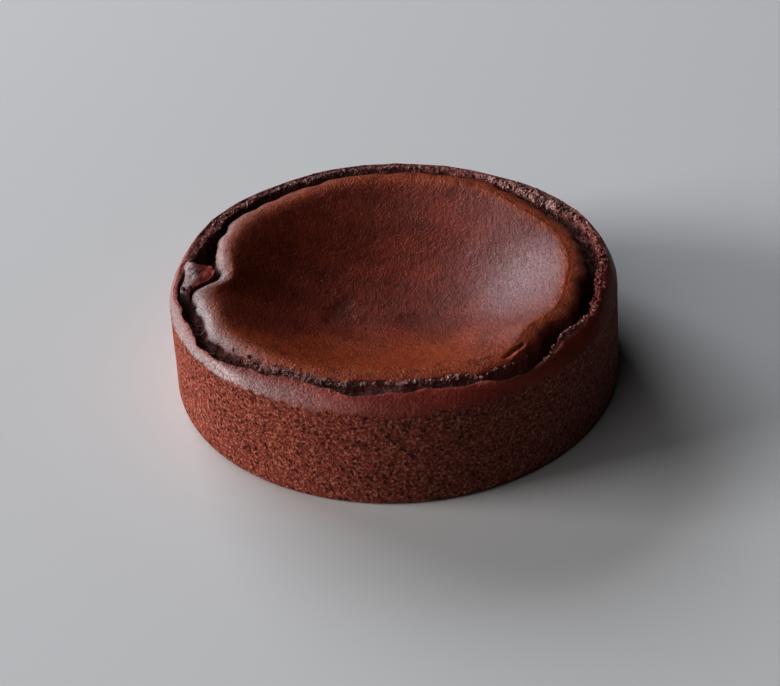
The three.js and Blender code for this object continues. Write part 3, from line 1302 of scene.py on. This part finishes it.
@dataclass(frozen=True)
class BakedFinish:
    """Baked chocolate: a satin crust on the top and rim, a porous crumb on the side and in the crack.

    A pair is the start and end of a smooth change. Heights are shares of the bump's full height.
    """

    crust_colour: Colour = (0.27, 0.049, 0.02, 1.0)
    crust_dark: Colour = (0.2, 0.032, 0.014, 1.0)
    crust_browned: Colour = (0.37, 0.086, 0.027, 1.0)
    crust_red: Colour = (0.34, 0.064, 0.042, 1.0)
    # Painted shade: on the right of the sunken top and in the grain's hollows.
    crust_painted_shade: Colour = (0.13, 0.02, 0.016, 1.0)
    # Random mottle, and painted shade in the darkened dents.
    crust_mottle_and_shade: Colour = (0.13, 0.021, 0.006, 1.0)
    crust_fleck: Colour = (0.55, 0.24, 0.14, 1.0)
    # Painted sheen: a light grey that stands in for the lamps' reflection.
    painted_sheen_colour: Colour = (0.38, 0.32, 0.325, 1.0)
    crumb_colour: Colour = (0.27, 0.065, 0.041, 1.0)
    crumb_light: Colour = (0.49, 0.215, 0.145, 1.0)
    # Painted shade in the pores and pits.
    pore_painted_shade: Colour = (0.075, 0.014, 0.009, 1.0)
    torn_colour: Colour = (0.23, 0.054, 0.048, 1.0)
    # Painted highlight: the colour of torn crumb where it catches the lamps.
    torn_painted_highlight: Colour = (0.56, 0.39, 0.36, 1.0)
    # Painted shade deep in the crack.
    crack_painted_shade: Colour = (0.12, 0.035, 0.03, 1.0)
    # Painted light on the crack's floor.
    deep_painted_light: Colour = (0.5, 0.25, 0.22, 1.0)
    crust_roughness: float = 0.34
    crust_specular: float = 0.19
    coat_ior: float = 1.57
    coat_roughness: float = 0.45
    crumb_roughness: float = 0.8
    crumb_specular: float = 0.15
    crumb_sheen: float = 0.06
    bump_height: float = 1 * MM
    fine_grain: Grain = Grain(0.7 * MM, 3.0, 0.6)
    border_grain: Grain = Grain(2.0 * MM, 2.0)
    border_sway: float = 0.6
    border_edge: Pair = (0.35, 0.65)
    sponge_grain: Grain = Grain(1.0 * MM, 3.0, 0.7)
    sponge_lightening: Pair = (0.5, 0.64)
    sponge_height: float = 0.8
    hole_spacing: float = 1.8 * MM
    hole_sway: float = 0.9
    hole_luck: float = 0.3
    hole_edge: Pair = (0.14, 0.02)
    hole_height: float = 0.4
    pore_edge: Pair = (0.46, 0.36)
    pore_share: float = 0.75
    pore_darkening: float = 0.8
    pit_edge: Pair = (0.1, 0.7)
    crumb_fine_height: float = 0.3
    torn_lightening: Pair = (0.45, 0.65)
    torn_least_light: float = 0.12
    torn_extra_light: float = 0.6
    deep_edge: Pair = (0.25, 0.9)
    deep_lightening: Pair = (0.2, 0.7)
    broad_grain: Grain = Grain(14 * MM, 4.0)
    broad_edge: Pair = (0.35, 0.65)
    browned_sway: float = 0.8
    mottle_grain: Grain = Grain(5 * MM, 4.0, 0.65)
    mottle_edge: Pair = (0.52, 0.36)
    mottle_share: float = 0.45
    fleck_grain: Grain = Grain(1.1 * MM, 2.0, 0.6)
    fleck_edge: Pair = (0.64, 0.76)
    fleck_share: float = 0.4
    furrow_edge: Pair = (0.5, 0.2)
    furrow_share: float = 0.6
    speck_grain: Grain = Grain(0.7 * MM, 3.0, 0.75)
    speck_edge: Pair = (0.34, 0.62)
    speck_least_sheen: float = 0.4
    speck_least_coat: float = 0.2
    streak_stretch: Triple = (1000.0, 300.0, 500.0)
    streak_grain: Grain = Grain(1.0, 3.0, 0.6)
    streak_height: float = 0.03
    streak_gloss_height: float = 0.45
    dimple_grain: Grain = Grain(2.2 * MM, 2.0)
    dimple_height: float = 0.3
    prick_spacing: float = 2.6 * MM
    prick_luck: float = 0.12
    prick_edge: Pair = (0.2, 0.06)
    prick_height: float = 0.06
    crust_fine_height: float = 0.32
    sheen_fine_height: float = 0.4

    def make(self) -> bpy.types.Material:
        """Makes the material, which reads the values marked on the mesh."""
        sheet = Sheet("baked_chocolate")
        place = sheet.place()
        fine = sheet.noise(place, self.fine_grain)
        border = sheet.noise(place, self.border_grain).sway(self.border_sway)
        crust = (sheet.value_at(Mark.CRUST) + border).rise(*self.border_edge)
        shaders = {1: self.crumb(sheet, place, fine), 2: self.crust(sheet, place, fine)}
        return sheet.finish(sheet.node("ShaderNodeMixShader", None, {"Fac": crust, **shaders}))

    def crumb(self, sheet: Sheet, place: Sock, fine: Sock) -> Sock:
        """Shader of the porous side and the torn faces.

        Args:
            sheet: The material's node sheet.
            place: Place on the object.
            fine: Its finest grain.

        Returns:
            The shader.
        """
        sponge = sheet.noise(place, self.sponge_grain)
        distance, luck = sheet.cells(place, self.hole_spacing)
        gap = distance + sponge.sway(self.hole_sway) - luck * self.hole_luck
        holes = gap.rise(*self.hole_edge)
        # Painted shade in the pores and pits of the side.
        pores = (sponge.rise(*self.pore_edge) * self.pore_share).or_more(holes)
        pores = pores.or_more(sheet.value_at(Mark.PITTED).rise(*self.pit_edge))
        wall = sheet.blend(sponge.rise(*self.sponge_lightening), self.crumb_colour, self.crumb_light)
        wall = sheet.blend(pores * self.pore_darkening, wall, self.pore_painted_shade)
        # Painted light: torn crumb is painted lighter where the mesh marks it lit.
        light = sheet.value_at(Mark.LIGHT)
        lightness = light * fine.rise(*self.torn_lightening).above(self.torn_least_light)
        lightness = lightness.or_more((light - 1.0) * self.torn_extra_light)
        torn = sheet.blend(lightness, self.torn_colour, self.torn_painted_highlight)
        # Painted shade: the crack's crumb darkens with depth, lightened where painted light is marked.
        depths = sheet.blend(light.rise(*self.deep_lightening), self.crack_painted_shade, self.deep_painted_light)
        torn = sheet.blend(sheet.value_at(Mark.DEPTH_SHADE).rise(*self.deep_edge), torn, depths)
        height = sponge * self.sponge_height + fine * self.crumb_fine_height - holes * self.hole_height
        return sheet.principled(
            {
                "Base Color": sheet.blend(sheet.value_at(Mark.TORN), wall, torn),
                "Roughness": self.crumb_roughness,
                "Specular IOR Level": self.crumb_specular,
                "Sheen Weight": self.crumb_sheen,
                "Normal": sheet.bump(height, self.bump_height),
            }
        )

    def crust(self, sheet: Sheet, place: Sock, fine: Sock) -> Sock:
        """Shader of the satin crust, with a fine leathery grain, painted shade in its hollows and on the
        right of the top, and a painted grey sheen on its lit edge.

        Args:
            sheet: The material's node sheet.
            place: Place on the object.
            fine: Its finest grain.

        Returns:
            The shader.
        """
        gloss_and_shade, gloss_and_sheen = sheet.value_at(Mark.GLOSS_AND_PAINTED_SHADE), sheet.value_at(Mark.GLOSS_AND_PAINTED_SHEEN)
        broad = sheet.noise(place, self.broad_grain)
        browned = sheet.value_at(Mark.BROWNED) + broad.sway(self.browned_sway)
        mottle = sheet.noise(place, self.mottle_grain).rise(*self.mottle_edge)
        flecks = sheet.noise(place, self.fleck_grain).rise(*self.fleck_edge)
        # Painted shade in the hollows of the fine grain.
        furrows = fine.rise(*self.furrow_edge)
        specks = sheet.noise(place, self.speck_grain).rise(*self.speck_edge)
        skin = sheet.blend(broad.rise(*self.broad_edge), self.crust_dark, self.crust_colour)
        layers = (
            # Painted shade on the right of the sunken top.
            (gloss_and_shade, self.crust_painted_shade),
            (browned.rise(0.0, 1.0), self.crust_browned),
            (mottle * self.mottle_share, self.crust_mottle_and_shade),
            (flecks * self.fleck_share, self.crust_fleck),
            (sheet.value_at(Mark.RED), self.crust_red),
            # Painted shade in the darkened dents.
            (sheet.value_at(Mark.PITTED), self.crust_mottle_and_shade),
            # Painted shade in the hollows of the fine grain.
            (furrows * self.furrow_share, self.crust_painted_shade),
            # Painted sheen on the lit edges.
            (gloss_and_sheen * specks.above(self.speck_least_sheen), self.painted_sheen_colour),
        )
        for share, colour in layers:
            skin = sheet.blend(share, skin, colour)
        streaks = sheet.noise(place * self.streak_stretch, self.streak_grain)
        dimples = sheet.noise(place, self.dimple_grain)
        distance, luck = sheet.cells(place, self.prick_spacing)
        pricks = (distance - luck * self.prick_luck).rise(*self.prick_edge)
        height = streaks * (gloss_and_shade * self.streak_gloss_height + self.streak_height)
        height = height + dimples * self.dimple_height - pricks * self.prick_height
        height = height + fine * (gloss_and_sheen * self.sheen_fine_height + self.crust_fine_height)
        return sheet.principled(
            {
                "Base Color": skin,
                "Roughness": self.crust_roughness,
                "Specular IOR Level": self.crust_specular,
                "Coat Weight": gloss_and_sheen.or_more(gloss_and_shade) * specks.above(self.speck_least_coat),
                "Coat Roughness": self.coat_roughness,
                "Coat IOR": self.coat_ior,
                "Normal": sheet.bump(height, self.bump_height),
            }
        )


@dataclass(frozen=True)
class FloorFinish:
    """A plain pale matt floor."""

    colour: Colour = (0.7, 0.7, 0.7, 1.0)
    roughness: float = 0.9

    def make(self) -> bpy.types.Material:
        """Makes the material."""
        sheet = Sheet("pale_floor")
        return sheet.finish(sheet.principled({"Base Color": self.colour, "Roughness": self.roughness}))


@dataclass(frozen=True)
class SoftLight:
    """A large soft lamp aimed at the cake."""

    name: str
    azimuth: float
    elevation: float
    distance: float
    size: Pair
    power: float
    colour: Triple = (1.0, 1.0, 1.0)


@dataclass(frozen=True)
class Studio:
    """The floor, lamps and camera."""

    eye: Triple = (0.0, -467.5 * MM, 348.7 * MM)
    pitch: float = 36.156
    yaw: float = -0.287
    roll: float = -2.922
    focal_pixels: float = 1700.0
    photo_width_pixels: float = 780.0
    sensor_width: float = 36.0
    floor_size: float = 24.0
    ambient: float = 0.03
    gamma: float = 0.7
    exposure: float = 0.25
    lamps: tuple[SoftLight, ...] = (
        SoftLight("window", 124, 26, 6.0, (4.4, 2.6), 255.0, (0.95, 0.98, 1.04)),
        SoftLight("side", 184, 14, 6.0, (3.0, 2.2), 370.0),
        SoftLight("fill", 214, 50, 6.0, (6.0, 5.0), 95.0),
    )

    def build(self) -> None:
        """Sets up everything round the object."""
        self.set_tone()
        self.lay_floor()
        for lamp in self.lamps:
            self.hang(lamp)
        self.fill_air()
        self.place_camera()

    def set_tone(self) -> None:
        """Sets the plain view with a little more contrast."""
        view = bpy.context.scene.view_settings
        view.view_transform = "Standard"
        view.gamma = self.gamma
        view.exposure = self.exposure

    def lay_floor(self) -> None:
        """Lays the floor under the base."""
        bpy.ops.object.select_all(action="DESELECT")
        bpy.ops.mesh.primitive_plane_add(size=self.floor_size)
        floor = bpy.context.object
        floor.name = floor.data.name = "floor"
        floor.data.materials.append(FloorFinish().make())

    def hang(self, lamp: SoftLight) -> None:
        """Hangs one lamp and aims it at the cake."""
        turn, lift = math.radians(lamp.azimuth), math.radians(lamp.elevation)
        level = math.cos(lift)
        away = Vector((math.cos(turn) * level, math.sin(turn) * level, math.sin(lift)))
        data = bpy.data.lights.new(lamp.name, "AREA")
        data.shape = "RECTANGLE"
        data.size, data.size_y = lamp.size
        data.energy = lamp.power
        data.color = lamp.colour
        holder = bpy.data.objects.new(lamp.name, data)
        holder.location = away * lamp.distance
        holder.rotation_euler = (-away).to_track_quat("-Z", "Y").to_euler()
        bpy.context.scene.collection.objects.link(holder)

    def fill_air(self) -> None:
        """Adds a little even light from all round."""
        world = bpy.data.worlds.new("studio_air")
        world.use_nodes = True
        world.node_tree.nodes["Background"].inputs["Strength"].default_value = self.ambient
        bpy.context.scene.world = world

    def place_camera(self) -> None:
        """Places the camera at the photograph's view."""
        pitch, yaw, roll = (math.radians(angle) for angle in (self.pitch, self.yaw, self.roll))
        flat = math.cos(pitch)
        ahead = Vector((math.sin(yaw) * flat, math.cos(yaw) * flat, -math.sin(pitch)))
        level = Vector((math.cos(yaw), -math.sin(yaw), 0.0))
        upright = level.cross(ahead)
        right = math.cos(roll) * level + math.sin(roll) * upright
        above = -math.sin(roll) * level + math.cos(roll) * upright
        data = bpy.data.cameras.new("camera")
        data.sensor_fit = "HORIZONTAL"
        data.sensor_width = self.sensor_width
        data.lens = self.sensor_width * self.focal_pixels / self.photo_width_pixels
        camera = bpy.data.objects.new("camera", data)
        turn = Matrix((right, above, -ahead)).transposed()
        camera.matrix_world = Matrix.Translation(Vector(self.eye)) @ turn.to_4x4()
        bpy.context.scene.collection.objects.link(camera)
        bpy.context.scene.camera = camera


def main() -> None:
    """Builds the studio and the cake's pieces in order."""
    logging.basicConfig(level=logging.INFO, format="%(message)s")
    low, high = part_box(NODE)
    Studio().build()
    baked = BakedFinish().make()
    cake = CakeBody(CakeForm(base_radius=0.5 * (high.x - low.x)))
    body, surface = cake.build()
    cake.dress(body, baked)
    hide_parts(NODE)
    crumbs = Crumbs(surface)
    crumbs.dress(crumbs.build(), baked)


if __name__ == "__main__":
    main()
